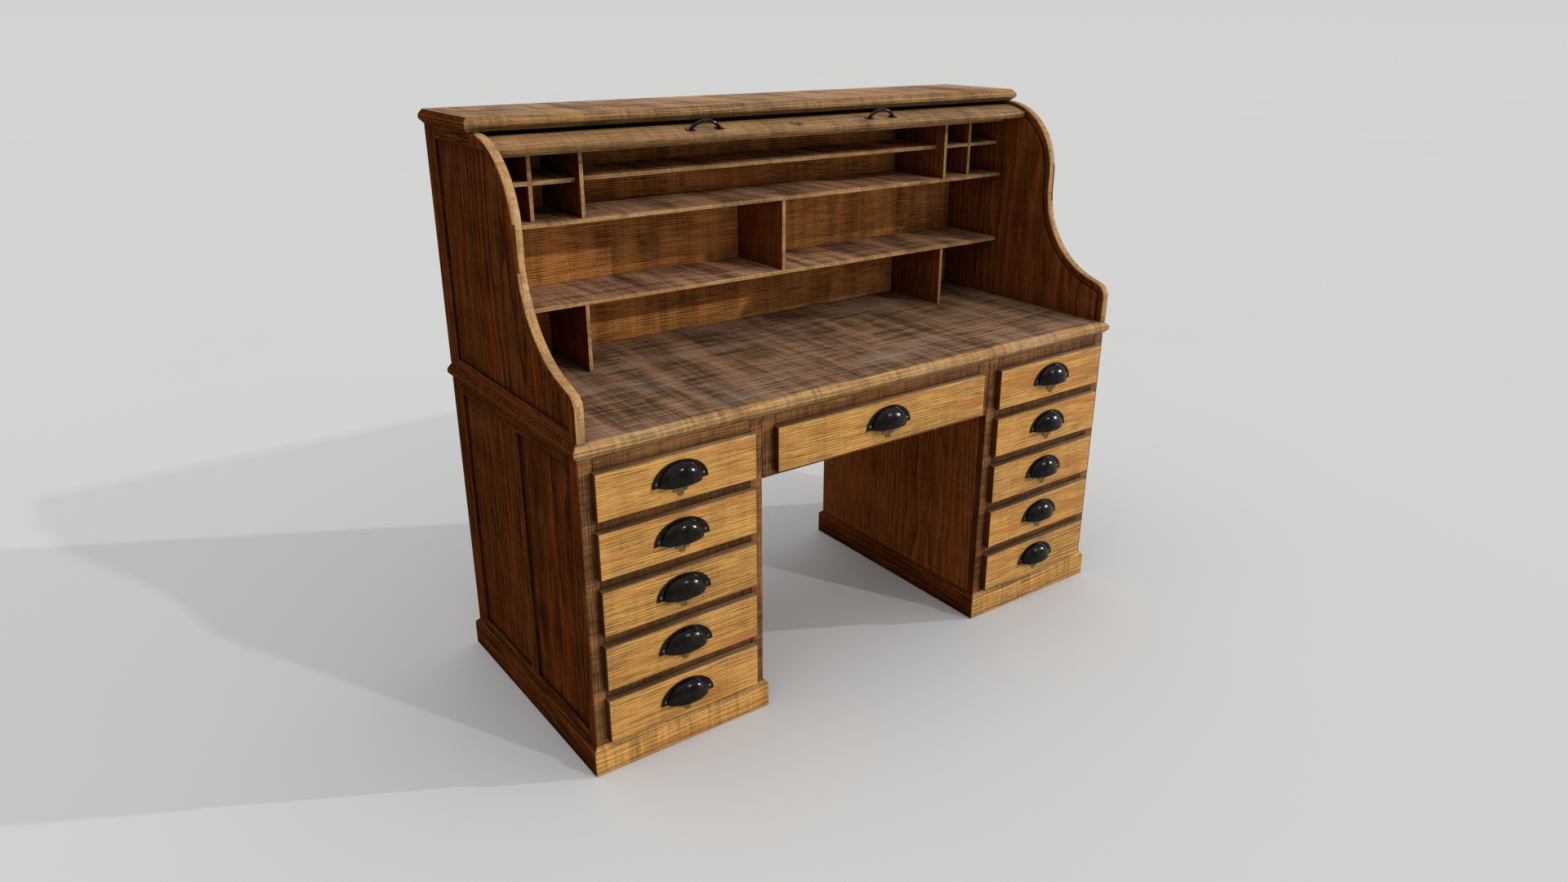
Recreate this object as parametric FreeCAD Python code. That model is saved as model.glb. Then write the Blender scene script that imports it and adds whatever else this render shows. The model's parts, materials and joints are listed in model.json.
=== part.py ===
"""Double-pedestal roll top desk: carcass, gallery, tambour curtain and eleven drawers.

Millimetres. X runs across the desk, +Y to the back, +Z up. The origin is on the floor,
at the middle of the whole desk's footprint.
"""
import FreeCAD
import Part
import math
import os

V = FreeCAD.Vector

# ---- overall carcass
carcass_width = 1560.0
carcass_depth = 657.0
desk_height = 762.0
gallery_height = 543.5

# ---- tops
slab_thickness = 35.5
slab_overhang = 11.0
slab_edge_flat = 9.5
crown_thickness = 30.5
crown_overhang = 12.0
crown_edge_flat = 8.5
crown_past_arc = 9.0

# ---- pedestals
pedestal_width = 434.0
side_frame_thickness = 22.0
side_panel_thickness = 8.0
side_panel_recess = 8.0
side_front_stile = 13.0
side_mid_stile = 36.0
side_mid_stile_from_back = 328.5
side_back_stile = 55.0
side_top_rail = 28.0
side_bottom_rail = 92.0
inner_side_thickness = 18.0
pedestal_back_thickness = 12.0
face_frame_thickness = 20.0
plinth_height = 70.0
plinth_projection = 9.5

# ---- kneehole
kneehole_rail_height = 19.0
dust_board_thickness = 8.0
rear_rail_thickness = 20.0

# ---- drawers
drawers_per_pedestal = 5
drawer_front_margin = 27.0
drawer_top_from_slab = 26.5
drawer_gap = 26.7
lowest_front_above_plinth = 8.2
centre_front_margin = 31.0
drawer_front_thickness = 18.0
drawer_front_round = 3.0
drawer_overlap = 6.0
drawer_back_gap = 0.5
drawer_back_clearance = 87.5
drawer_side_clearance = 1.5
drawer_bottom_clearance = 0.5
drawer_box_drop = 10.0
drawer_side_thickness = 10.0
drawer_subfront_thickness = 12.0
drawer_bottom_thickness = 6.0
drawer_bottom_raise = 6.0
runner_height = 18.0
runner_width = 30.0
guide_height = 14.0

# ---- drawer ironmongery
cup_radius = 46.0
cup_projection = 26.0
cup_wall = 2.5
cup_above_centre = -11.0
flange_above_cup = 4.0
flange_thickness = 2.0
screw_past_cup = 10.0
screw_above_cup_edge = 9.0
flange_past_screw = 11.0
screw_head_radius = 3.2
screw_head_height = 1.2
key_plate_thickness = 1.5
key_plate_below_cup = 9.0
key_plate_lobe_x = 12.5
key_plate_lobe_radius = 5.5
key_plate_foot_radius = 8.0
key_plate_drop = 21.0
key_hole_radius = 2.6
key_slot_width = 2.6
key_slot_length = 9.0
lock_width = 50.0
lock_height = 34.0
lock_depth = 8.0
lock_above_bottom = 1.0

# ---- gallery sides: an S edge of two arcs, a straight run and a small nose
gallery_board_thickness = 15.0
gallery_frame_thickness = 7.0
upper_arc_radius = 178.0
upper_arc_from_back = 262.5
waist_length = 37.5
edge_straight = 36.9
nose_radius = 33.0
nose_height = 67.6
gallery_front_lead = 3.5
rim_width = 14.0
rim_front_width = 30.0
frame_back_stile = 54.0
frame_top_rail = 28.0
frame_bottom_rail = 20.0

# ---- gallery back
back_frame_thickness = 18.0
back_stile_width = 62.0
back_rail_height = 60.0
back_panel_thickness = 8.0
back_panel_count = 3

# ---- tambour track and curtain, measured inwards from the S edge
groove_outer = 7.5
groove_inner = 20.5
groove_depth = 6.0
canvas_offset = 19.0
rear_run_from_back = 23.5
rear_bend_radius = 49.0
rear_track_lift = 110.0
slat_thickness = 9.0
slat_width = 17.0
slat_pitch = 18.6
slat_bevel = 2.0
slats_per_group = 2
moving_groups = 5
curtain_end_gap = 1.0
canvas_thickness = 0.8
rear_slat_count = 18
lead_outer_offset = 8.0
lead_thickness = 16.0
lead_leading_angle = 117.5
lead_trailing_angle = 90.4
lead_round = 5.0
lead_tongue_outer = 9.5
lead_tongue_length = 5.0
lead_tongue_margin_angle = 2.5

# ---- lead rail ironmongery
bow_angle = 108.0
bow_from_side = 500.0
bow_half_span = 38.0
bow_rise = 17.0
bow_rod_radius = 4.0
bow_foot_length = 20.0
bow_foot_width = 13.0
bow_foot_thickness = 2.5
lead_lock_angle = 105.5
lead_plate_lobe_x = 13.0
lead_plate_foot_radius = 11.0
lead_plate_drop = 20.0

# ---- pigeonholes
shelf_behind_arc = 1.0
pigeonhole_back_thickness = 8.0
pigeonhole_back_from_back = 54.5
shelf_thickness = 10.0
divider_thickness = 10.0
low_space_height = 157.0
lower_cubby_height = 76.0
upper_cubby_height = 54.0
pigeonhole_top_clearance = 43.5
cubby_setback = 21.0
long_shelf_setback = 30.0
outer_cubby_width = 103.0
inner_cubby_width = 100.0
low_space_width = 208.0

# ---- places worked out from the sizes above
half_width = carcass_width / 2
front_reach = drawer_back_gap + drawer_front_thickness + cup_projection
total_depth = front_reach + carcass_depth + plinth_projection
front = front_reach - total_depth / 2
back = front + carcass_depth
slab_bottom = desk_height - slab_thickness
gallery_top = desk_height + gallery_height
kneehole_half = half_width - pedestal_width
pedestal_middle = half_width - pedestal_width / 2
gallery_inner = half_width - gallery_board_thickness - gallery_frame_thickness
gallery_front = front - gallery_front_lead
arc_y = back - upper_arc_from_back
arc_z = gallery_top - upper_arc_radius
side_sign = {"left": -1, "right": 1}

first_front_top = slab_bottom - drawer_top_from_slab
lowest_front_bottom = plinth_height + lowest_front_above_plinth
drawer_pitch = (first_front_top - lowest_front_bottom + drawer_gap) / drawers_per_pedestal
drawer_front_height = drawer_pitch - drawer_gap
drawer_front_width = pedestal_width - 2 * drawer_front_margin
centre_front_width = 2 * kneehole_half - 2 * centre_front_margin
kneehole_top_height = first_front_top - drawer_front_height + drawer_overlap - kneehole_rail_height
box_front = front - drawer_back_gap
drawer_box_depth = back - rear_rail_thickness - drawer_back_clearance - box_front
flange_height = cup_radius + flange_above_cup
screw_centre_x = cup_radius + screw_past_cup
flange_half_width = screw_centre_x + flange_past_screw

# The straight run touches the lower arc and the nose, which curve opposite ways.
edge_reach = arc_y - upper_arc_radius - gallery_front
edge_drop = arc_z - waist_length - desk_height - nose_height
arc_and_nose = (edge_reach ** 2 + edge_drop ** 2 - edge_straight ** 2) / (2 * edge_reach)
lower_arc_radius = arc_and_nose - nose_radius
lower_arc_sweep = math.degrees(
    math.atan2(edge_drop, arc_and_nose - edge_reach) - math.atan2(edge_straight, arc_and_nose))
rear_track_bottom = desk_height + rear_track_lift
bow_centre_x = gallery_inner - bow_from_side

pigeonhole_board_front = back - pigeonhole_back_from_back - pigeonhole_back_thickness
pigeonhole_depth = pigeonhole_board_front - arc_y - shelf_behind_arc
pigeonhole_top = gallery_top - pigeonhole_top_clearance
half_shelf_top = pigeonhole_top - shelf_thickness - upper_cubby_height
middle_shelf_top = half_shelf_top - shelf_thickness - lower_cubby_height
low_shelf_top = desk_height + low_space_height + shelf_thickness
cubby_split_x = gallery_inner - outer_cubby_width - divider_thickness / 2
cubby_side_x = cubby_split_x - inner_cubby_width - divider_thickness
low_divider_x = gallery_inner - low_space_width - divider_thickness / 2


def box(x0, x1, y0, y1, z0, z1):
    """A board between two corners, given as low and high values on each axis."""
    return Part.makeBox(x1 - x0, y1 - y0, z1 - z0, V(x0, y0, z0))


def side_box(sign, inner, outer, y0, y1, z0, z1):
    """A board at distances inner to outer from the middle of the desk, left or right."""
    low, high = sorted((sign * inner, sign * outer))
    return box(low, high, y0, y1, z0, z1)


def save(name, solids):
    """Write one node as a STEP file holding its separate solids."""
    Part.makeCompound(solids).exportStep("parts/" + name + ".step")


def outline(start, steps):
    """A closed wire in the YZ plane: each step is an end point, or a middle and an end point."""
    edges = []
    here = start
    for step in steps + [[start]]:
        there = step[-1]
        if len(step) == 2:
            edges.append(Part.Arc(V(0, *here), V(0, *step[0]), V(0, *there)).toShape())
        elif math.dist(here, there) > 1e-6:
            edges.append(Part.LineSegment(V(0, *here), V(0, *there)).toShape())
        here = there
    return Part.Wire(edges)


def board_from(wire, x0, x1):
    """A board of the given YZ outline between two X planes."""
    board = Part.Face(wire).extrude(V(x1 - x0, 0, 0))
    board.translate(V(x0, 0, 0))
    return board


def polar(centre, radius, degrees):
    """A point at an angle, counted from +Y towards +Z."""
    angle = math.radians(degrees)
    return (centre[0] + radius * math.cos(angle), centre[1] + radius * math.sin(angle))


def s_curve(offset, bottom):
    """Steps down the S edge, moved inwards by an offset, from the top of the upper arc."""
    upper = (arc_y, arc_z)
    upper_radius = upper_arc_radius - offset
    waist = (arc_y - upper_radius, arc_z)
    lower = (arc_y - upper_arc_radius - lower_arc_radius, arc_z - waist_length)
    lower_radius = lower_arc_radius + offset
    nose_turn = 180.0 - lower_arc_sweep
    edge_end = polar(lower, lower_arc_radius, -lower_arc_sweep)
    nose_y = gallery_front + nose_radius
    touch_y = nose_y + nose_radius * math.cos(math.radians(nose_turn))
    fall = (edge_end[0] - touch_y) / math.tan(math.radians(lower_arc_sweep))
    nose_z = edge_end[1] - fall - nose_radius * math.sin(math.radians(nose_turn))
    nose = (nose_y, nose_z)
    small = nose_radius - offset
    return [
        [polar(upper, upper_radius, 135.0), waist],
        [(waist[0], waist[1] - waist_length)],
        [polar(lower, lower_radius, -lower_arc_sweep / 2), polar(lower, lower_radius, -lower_arc_sweep)],
        [polar(nose, small, nose_turn)],
        [polar(nose, small, (nose_turn + 180.0) / 2), (gallery_front + offset, nose_z)],
        [(gallery_front + offset, bottom)],
    ]


def s_board(offset, x0, x1):
    """A board with the S edge moved inwards, a straight back and a straight top."""
    top = gallery_top - offset
    steps = [[(back, top)], [(arc_y, top)]] + s_curve(offset, desk_height)
    return board_from(outline((back, desk_height), steps), x0, x1)


def track_board(offset, x0, x1):
    """The region inside the curtain's track: S edge, top run, rear bend and rear run."""
    radius = rear_bend_radius - offset
    rear = back - rear_run_from_back - offset
    bend = (rear - radius, gallery_top - offset - radius)
    steps = [
        [(rear, bend[1])],
        [polar(bend, radius, 45.0), (bend[0], gallery_top - offset)],
        [(arc_y, gallery_top - offset)],
    ] + s_curve(offset, desk_height)
    return board_from(outline((rear, desk_height), steps), x0, x1)


def lead_path(travel_from_front):
    """Point and direction on the canvas line, at a distance back from the upper arc's top."""
    radius = rear_bend_radius - canvas_offset
    rear = back - rear_run_from_back - canvas_offset
    straight = rear - radius - arc_y
    top = gallery_top - canvas_offset
    bend_length = radius * math.pi / 2
    if travel_from_front <= straight:
        return (arc_y + travel_from_front, top), 0.0
    past = travel_from_front - straight
    if past <= bend_length:
        turn = past / radius
        place = polar((rear - radius, top - radius), radius, 90.0 - math.degrees(turn))
        return place, -math.degrees(turn)
    return (rear, top - radius - (past - bend_length)), -90.0


def bevelled_top(x_half, y0, y1, z0, z1, flat):
    """A top with a double bevel on its front and both ends, and a plain back edge."""
    bevel = (z1 - z0 - flat) / 2
    across = Part.makePolygon([
        V(-x_half + bevel, y0, z0), V(x_half - bevel, y0, z0), V(x_half, y0, z0 + bevel),
        V(x_half, y0, z1 - bevel), V(x_half - bevel, y0, z1), V(-x_half + bevel, y0, z1),
        V(-x_half, y0, z1 - bevel), V(-x_half, y0, z0 + bevel), V(-x_half + bevel, y0, z0),
    ])
    along = Part.makePolygon([
        V(-x_half, y0 + bevel, z0), V(-x_half, y1, z0), V(-x_half, y1, z1),
        V(-x_half, y0 + bevel, z1), V(-x_half, y0, z1 - bevel), V(-x_half, y0, z0 + bevel),
        V(-x_half, y0 + bevel, z0),
    ])
    ends = Part.Face(across).extrude(V(0, y1 - y0, 0))
    edge = Part.Face(along).extrude(V(2 * x_half, 0, 0))
    return ends.common(edge)


def drawer_front_top(row):
    """Height of the top edge of a drawer front, row 1 uppermost."""
    return first_front_top - (row - 1) * drawer_pitch


def make_tops():
    save("writing_top", [bevelled_top(
        half_width + slab_overhang, front - slab_overhang, back, slab_bottom, desk_height, slab_edge_flat)])
    crown_front = arc_y - crown_past_arc
    save("crown_top", [bevelled_top(
        half_width + crown_overhang, crown_front, back, gallery_top, gallery_top + crown_thickness,
        crown_edge_flat)])


def make_outer_side(name, sign):
    """Outer side of a pedestal: three stiles and two rails round two flat panels."""
    outer = half_width
    inner = half_width - side_frame_thickness
    start = front + face_frame_thickness
    panel_front = start + side_front_stile
    mid_back = back - side_mid_stile_from_back
    mid_front = mid_back - side_mid_stile
    panel_back = back - side_back_stile
    low = side_bottom_rail
    high = slab_bottom - side_top_rail
    frame = [
        side_box(sign, inner, outer, start, panel_front, 0, slab_bottom),
        side_box(sign, inner, outer, mid_front, mid_back, low, high),
        side_box(sign, inner, outer, panel_back, back, 0, slab_bottom),
        side_box(sign, inner, outer, panel_front, panel_back, high, slab_bottom),
        side_box(sign, inner, outer, panel_front, panel_back, 0, low),
    ]
    save("pedestal_" + name + "_side_frame", frame)
    face = outer - side_panel_recess
    panels = [
        side_box(sign, face - side_panel_thickness, face, panel_front, mid_front, low, high),
        side_box(sign, face - side_panel_thickness, face, mid_back, panel_back, low, high),
    ]
    save("pedestal_" + name + "_side_panels", panels)


def make_face_frame(name, sign):
    """Front frame of a pedestal: two stiles, and a rail above, below and between drawers."""
    half_opening = drawer_front_width / 2 - drawer_overlap
    y0, y1 = front, front + face_frame_thickness
    left = pedestal_middle - half_opening
    right = pedestal_middle + half_opening
    pieces = [
        side_box(sign, kneehole_half, left, y0, y1, 0, slab_bottom),
        side_box(sign, right, half_width, y0, y1, 0, slab_bottom),
    ]
    rail_top = slab_bottom
    for row in range(1, drawers_per_pedestal + 1):
        opening_top = drawer_front_top(row) - drawer_overlap
        pieces.append(side_box(sign, left, right, y0, y1, opening_top, rail_top))
        rail_top = drawer_front_top(row) - drawer_front_height + drawer_overlap
    pieces.append(side_box(sign, left, right, y0, y1, 0, rail_top))
    save("pedestal_" + name + "_face_frame", pieces)


def make_plinth(name, sign):
    """Plinth round the foot of a pedestal: four mitred boards with a bevelled top edge."""
    inner_x, outer_x = kneehole_half, half_width
    reach = plinth_projection
    bevel_z = plinth_height - reach
    lower = side_box(sign, inner_x - reach, outer_x + reach, front - reach, back + reach, 0, bevel_z)
    corners = []
    for grow, z in ((reach, bevel_z), (0.0, plinth_height)):
        x0, x1 = sorted((sign * (inner_x - grow), sign * (outer_x + grow)))
        y0, y1 = front - grow, back + grow
        corners.append(Part.makePolygon([V(x0, y0, z), V(x1, y0, z), V(x1, y1, z), V(x0, y1, z), V(x0, y0, z)]))
    block = lower.fuse(Part.makeLoft(corners, True, True)).removeSplitter()
    x0, x1 = sorted((sign * inner_x, sign * outer_x))
    out0, out1 = x0 - reach, x1 + reach
    back_out, front_out = back + reach, front - reach
    plans = [
        [(out0, front_out), (out1, front_out), (x1, front), (x0, front)],
        [(out1, front_out), (out1, back_out), (x1, back), (x1, front)],
        [(out1, back_out), (out0, back_out), (x0, back), (x1, back)],
        [(out0, back_out), (out0, front_out), (x0, front), (x0, back)],
    ]
    boards = []
    for plan in plans:
        wire = Part.makePolygon([V(x, y, 0) for x, y in plan + plan[:1]])
        boards.append(Part.Face(wire).extrude(V(0, 0, plinth_height)).common(block))
    save("pedestal_" + name + "_plinth", boards)


def make_pedestals():
    backs = []
    back_face = back - pedestal_back_thickness
    for name, sign in side_sign.items():
        make_outer_side(name, sign)
        make_face_frame(name, sign)
        make_plinth(name, sign)
        inner_end = kneehole_half + inner_side_thickness
        inner_side = side_box(
            sign, kneehole_half, inner_end, front + face_frame_thickness, back, 0, slab_bottom)
        save("pedestal_" + name + "_inner_side", [inner_side])
        outer_end = half_width - side_frame_thickness
        backs.append(side_box(sign, inner_end, outer_end, back_face, back, 0, slab_bottom))
    save("pedestal_backs", backs)


def make_runners():
    """Hardwood runners under every drawer, each with a guide strip beside it."""
    pieces = []
    y0 = front + face_frame_thickness
    y1 = back - pedestal_back_thickness
    inner_wall = kneehole_half + inner_side_thickness
    outer_wall = half_width - side_frame_thickness
    half_opening = drawer_front_width / 2 - drawer_overlap
    for sign in side_sign.values():
        for row in range(1, drawers_per_pedestal + 1):
            top = drawer_front_top(row) - drawer_front_height + drawer_overlap
            low = top - runner_height
            edge_in = pedestal_middle - half_opening
            edge_out = pedestal_middle + half_opening
            pieces.append(side_box(sign, inner_wall, edge_in + runner_width / 2, y0, y1, low, top))
            pieces.append(side_box(sign, edge_out - runner_width / 2, outer_wall, y0, y1, low, top))
            pieces.append(side_box(sign, inner_wall, edge_in, y0, y1, top, top + guide_height))
            pieces.append(side_box(sign, edge_out, outer_wall, y0, y1, top, top + guide_height))
    top = first_front_top - drawer_front_height + drawer_overlap
    edge = centre_front_width / 2 - drawer_overlap
    low = kneehole_top_height + dust_board_thickness
    y1 = back - rear_rail_thickness
    for sign in side_sign.values():
        pieces.append(side_box(sign, edge - runner_width / 2, kneehole_half, y0, y1, low, top))
        pieces.append(side_box(sign, edge, kneehole_half, y0, y1, top, top + guide_height))
    save("drawer_runners", pieces)


def make_kneehole():
    half_opening = centre_front_width / 2 - drawer_overlap
    y0, y1 = front, front + face_frame_thickness
    opening_top = first_front_top - drawer_overlap
    opening_bottom = first_front_top - drawer_front_height + drawer_overlap
    pieces = [side_box(sign, half_opening, kneehole_half, y0, y1, kneehole_top_height, slab_bottom)
              for sign in side_sign.values()]
    pieces.append(box(-half_opening, half_opening, y0, y1, opening_top, slab_bottom))
    pieces.append(box(-half_opening, half_opening, y0, y1, kneehole_top_height, opening_bottom))
    save("kneehole_face_frame", pieces)
    rear_front = back - rear_rail_thickness
    save("kneehole_rear_rail", [
        box(-kneehole_half, kneehole_half, rear_front, back, kneehole_top_height, slab_bottom)])
    save("centre_dust_board", [box(
        -kneehole_half, kneehole_half, y1, rear_front,
        kneehole_top_height, kneehole_top_height + dust_board_thickness)])


def make_gallery_sides():
    """Each side is a full S board with the curtain groove, and a frame planted outside it."""
    for name, sign in side_sign.items():
        inner = gallery_inner
        seam = gallery_inner + gallery_board_thickness
        x0, x1 = sorted((sign * inner, sign * seam))
        board = s_board(0.0, x0, x1)
        g0, g1 = sorted((sign * inner, sign * (inner + groove_depth)))
        groove = track_board(groove_outer, g0, g1).cut(track_board(groove_inner, g0, g1))
        hidden = box(g0, g1, arc_y, back, desk_height, rear_track_bottom)
        save("gallery_side_" + name, [board.cut(groove.cut(hidden))])

        x0, x1 = sorted((sign * seam, sign * half_width))
        frame = s_board(0.0, x0, x1)
        recess_back = back - frame_back_stile
        recess_front = gallery_front + rim_front_width
        recess_low = desk_height + frame_bottom_rail
        recess_high = gallery_top - frame_top_rail
        recess = s_board(rim_width, x0, x1)
        recess = recess.common(box(x0, x1, recess_front, recess_back, recess_low, recess_high))
        frame = frame.cut(recess)
        cutters = [
            box(x0, x1, recess_back, back, desk_height, gallery_top),
            box(x0, x1, recess_front, recess_back, desk_height, recess_low),
            box(x0, x1, arc_y, recess_back, recess_high, gallery_top),
        ]
        pieces = [frame.common(cutter) for cutter in cutters]
        rim = frame
        for cutter in cutters:
            rim = rim.cut(cutter)
        save("gallery_frame_" + name, pieces + [rim])


def make_gallery_back():
    """Framed back of the gallery with flat panels, between the two sides."""
    y0 = back - back_frame_thickness
    low, high = desk_height, gallery_top
    inner = gallery_inner
    panel_low, panel_high = low + back_rail_height, high - back_rail_height
    frame = [
        box(-inner, inner, y0, back, low, panel_low),
        box(-inner, inner, y0, back, panel_high, high),
    ]
    panels = []
    pitch = (2 * inner - back_stile_width) / back_panel_count
    for index in range(back_panel_count + 1):
        stile = -inner + index * pitch
        frame.append(box(stile, stile + back_stile_width, y0, back, panel_low, panel_high))
        if index < back_panel_count:
            panels.append(box(
                stile + back_stile_width, stile + pitch, y0, y0 + back_panel_thickness, panel_low, panel_high))
    save("gallery_back_frame", frame)
    save("gallery_back_panels", panels)


def make_pigeonholes():
    board_front = pigeonhole_board_front
    shelf_front = board_front - pigeonhole_depth
    inner = gallery_inner
    thick = shelf_thickness
    half = divider_thickness / 2
    save("pigeonhole_back", [box(
        -inner, inner, board_front, board_front + pigeonhole_back_thickness, desk_height, pigeonhole_top)])
    shelves = [box(-inner, inner, shelf_front, board_front, top - thick, top)
               for top in (low_shelf_top, middle_shelf_top, pigeonhole_top)]
    save("pigeonhole_shelves", shelves)
    upper_low, upper_high = middle_shelf_top, pigeonhole_top - thick
    half_low = half_shelf_top - thick
    small = [box(-cubby_side_x + half, cubby_side_x - half, shelf_front + long_shelf_setback, board_front,
                 half_low, half_shelf_top)]
    dividers = [box(-half, half, shelf_front, board_front, low_shelf_top, middle_shelf_top - thick)]
    for sign in side_sign.values():
        setback = shelf_front + cubby_setback
        small.append(side_box(
            sign, cubby_side_x + half, cubby_split_x - half, setback, board_front, half_low, half_shelf_top))
        small.append(side_box(
            sign, cubby_split_x + half, inner, setback, board_front, half_low, half_shelf_top))
        dividers.append(side_box(
            sign, cubby_split_x - half, cubby_split_x + half, setback, board_front, upper_low, upper_high))
        dividers.append(side_box(
            sign, cubby_side_x - half, cubby_side_x + half, shelf_front, board_front, upper_low, upper_high))
        dividers.append(side_box(
            sign, low_divider_x - half, low_divider_x + half, shelf_front, board_front,
            desk_height, low_shelf_top - thick))
    save("pigeonhole_half_shelves", small)
    save("pigeonhole_dividers", dividers)


def slat(place, degrees):
    """One curtain slat: its canvas face centred on a track point, its show face outwards."""
    half = slat_width / 2
    wire = outline((-half, 0.0), [
        [(half, 0.0)], [(half, slat_thickness - slat_bevel)], [(half - slat_bevel, slat_thickness)],
        [(slat_bevel - half, slat_thickness)], [(-half, slat_thickness - slat_bevel)],
    ])
    end = gallery_inner - curtain_end_gap
    board = board_from(wire, -end, end)
    board.rotate(V(0, 0, 0), V(1, 0, 0), degrees)
    board.translate(V(0, *place))
    return board


def make_curtain():
    """Front slats lie flat under the crown; rear slats hang behind the pigeonholes."""
    start = curtain_end_gap + slat_pitch / 2
    for group in range(moving_groups):
        slats = []
        for index in range(slats_per_group):
            count = group * slats_per_group + index
            place, degrees = lead_path(start + count * slat_pitch)
            slats.append(slat(place, degrees))
        save("curtain_slats_" + str(group + 1), slats)
    rear = []
    first = moving_groups * slats_per_group
    for count in range(first, first + rear_slat_count):
        place, degrees = lead_path(start + count * slat_pitch)
        rear.append(slat(place, degrees))
    save("curtain_rear_slats", rear)
    radius = rear_bend_radius - canvas_offset
    y_rear = back - rear_run_from_back - canvas_offset
    bend = (y_rear - radius, gallery_top - canvas_offset - radius)
    end_length = start + (first + rear_slat_count - 0.5) * slat_pitch
    low = lead_path(end_length)[0][1]
    first_y = lead_path(start + (first - 0.5) * slat_pitch)[0][0]
    thin = radius - canvas_thickness
    top = bend[1] + radius
    wire = outline((first_y, top), [
        [(bend[0], top)],
        [polar(bend, radius, 45.0), (y_rear, bend[1])],
        [(y_rear, low)],
        [(y_rear - canvas_thickness, low)],
        [(y_rear - canvas_thickness, bend[1])],
        [polar(bend, thin, 45.0), (bend[0], top - canvas_thickness)],
        [(first_y, top - canvas_thickness)],
    ])
    canvas_end = gallery_inner - curtain_end_gap - lead_tongue_length
    save("curtain_canvas", [board_from(wire, -canvas_end, canvas_end)])


def arc_band(outer_offset, inner_offset, first, last, x0, x1):
    """A curved strip on the upper arc between two offsets and two angles."""
    centre = (arc_y, arc_z)
    middle = (first + last) / 2
    outer = upper_arc_radius - outer_offset
    inner = upper_arc_radius - inner_offset
    wire = outline(polar(centre, outer, first), [
        [polar(centre, outer, middle), polar(centre, outer, last)],
        [polar(centre, inner, last)],
        [polar(centre, inner, middle), polar(centre, inner, first)],
    ])
    return board_from(wire, x0, x1)


def make_lead_rail():
    """Lead rail, its two bow pulls and its lock plate, all turned to their places on the arc."""
    end = gallery_inner - curtain_end_gap
    inner_offset = lead_outer_offset + lead_thickness
    rail = arc_band(lead_outer_offset, inner_offset, lead_trailing_angle, lead_leading_angle, -end, end)
    lead = V(0, *polar((arc_y, arc_z), upper_arc_radius - lead_outer_offset, lead_leading_angle))
    edges = [edge for edge in rail.Edges
             if edge.distToShape(Part.Vertex(lead))[0] < lead_thickness + 1.0
             and abs(edge.BoundBox.XLength - 2 * end) < 0.1]
    rail = rail.makeFillet(lead_round, edges)
    for sign in side_sign.values():
        x0, x1 = sorted((sign * (end - 1.0), sign * (end + lead_tongue_length)))
        rail = rail.fuse(arc_band(
            lead_tongue_outer, canvas_offset, lead_trailing_angle + lead_tongue_margin_angle,
            lead_leading_angle - lead_tongue_margin_angle, x0, x1))
    save("lead_rail", [rail])

    surface = arc_z + upper_arc_radius - lead_outer_offset
    axis_point, axis = V(0, arc_y, arc_z), V(1, 0, 0)
    pulls = []
    for sign in side_sign.values():
        middle = V(sign * bow_centre_x, arc_y, surface)
        pull = bow_pull(middle)
        pull.rotate(axis_point, axis, bow_angle - 90.0)
        pulls.append(pull.cut(rail))
    save("lead_rail_pulls", pulls)
    plate = key_plate(lead_plate_lobe_x, lead_plate_foot_radius, lead_plate_drop)
    plate.rotate(V(0, 0, 0), axis, -90.0)
    plate.translate(V(0, arc_y, surface))
    plate.rotate(axis_point, axis, lead_lock_angle - 90.0)
    save("lead_rail_lock", [plate.cut(rail)])


def bow_pull(middle):
    """A bow handle: a bent rod on two flat feet, standing up from a point along X."""
    radius = (bow_half_span ** 2 + bow_rise ** 2) / (2 * bow_rise)
    centre = middle + V(0, 0, bow_foot_thickness + bow_rise - radius)
    half_turn = math.degrees(math.asin(bow_half_span / radius))
    start = centre + V(0, 0, radius)
    ring = Part.Wire(Part.makeCircle(bow_rod_radius, start, V(1, 0, 0)))
    rod = Part.Face(ring).revolve(centre, V(0, 1, 0), 2 * half_turn)
    rod.rotate(centre, V(0, 1, 0), -half_turn)
    pull = rod
    for sign in (-1, 1):
        foot = Part.makeBox(
            bow_foot_length, bow_foot_width, bow_foot_thickness + 1.0,
            middle + V(sign * bow_half_span - bow_foot_length / 2, -bow_foot_width / 2, -1.0))
        pull = pull.fuse(foot)
    below = Part.makeBox(4 * bow_half_span, 4 * bow_foot_width, 2 * radius,
                         middle + V(-2 * bow_half_span, -2 * bow_foot_width, -1.0 - 2 * radius))
    return pull.cut(below).removeSplitter()


def key_plate(lobe_x, foot_radius, drop):
    """A key plate with two lobes, a round foot and a key hole, facing -Y, its top at zero."""
    thick = key_plate_thickness
    facing = V(0, -1, 0)
    hole_z = -key_plate_lobe_radius
    plate = Part.makeCylinder(foot_radius, thick, V(0, 0, foot_radius - drop), facing)
    for sign in (-1, 1):
        lobe = Part.makeCylinder(key_plate_lobe_radius, thick, V(sign * lobe_x, 0, hole_z), facing)
        plate = plate.fuse(lobe)
    web = Part.makeBox(2 * lobe_x, thick, key_plate_lobe_radius * 2,
                       V(-lobe_x, -thick, -key_plate_lobe_radius * 2))
    plate = plate.fuse(web)
    hole = Part.makeCylinder(key_hole_radius, thick, V(0, 0, hole_z), facing)
    slot = Part.makeBox(key_slot_width, thick, key_slot_length,
                        V(-key_slot_width / 2, -thick, hole_z - key_slot_length))
    return plate.cut(hole.fuse(slot)).removeSplitter()


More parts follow.
